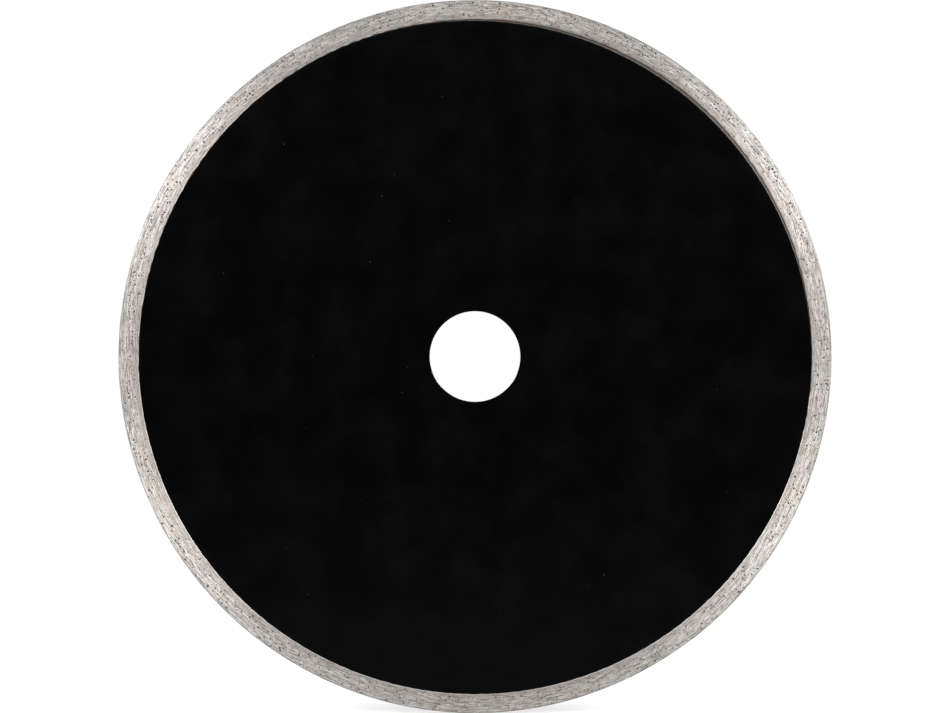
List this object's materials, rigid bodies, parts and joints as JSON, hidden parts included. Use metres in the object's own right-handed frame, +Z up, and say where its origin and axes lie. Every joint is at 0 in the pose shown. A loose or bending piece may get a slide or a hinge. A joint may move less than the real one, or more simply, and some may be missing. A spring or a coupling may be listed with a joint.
{
  "type": "diamond blade",
  "caption": "Round continuous-rim diamond cutting blade: thin black-painted steel core with a plain central bore and an unbroken sintered rim full of diamond grit, for wet cutting of tile.",
  "frame": {"origin": "centre of the bore, halfway through the steel core's thickness", "axes": "+Y along the blade's own axis, with the front face looking along -Y; +Z up with the blade standing on edge"},
  "size_m": [0.2001, 0.0024, 0.2002],
  "materials": {
    "core_steel": "satin",
    "sintered_metal": "satin",
    "black_enamel": "satin",
    "diamond": "gloss"
  },
  "bodies": {
    "root": {"steel_core": "core_steel", "rim_matrix": "sintered_metal", "front_paint": "black_enamel", "rear_paint": "black_enamel", "front_side_grains": "diamond", "rear_side_grains": "diamond", "cutting_edge_grains": "diamond"}
  },
  "joints": []
}
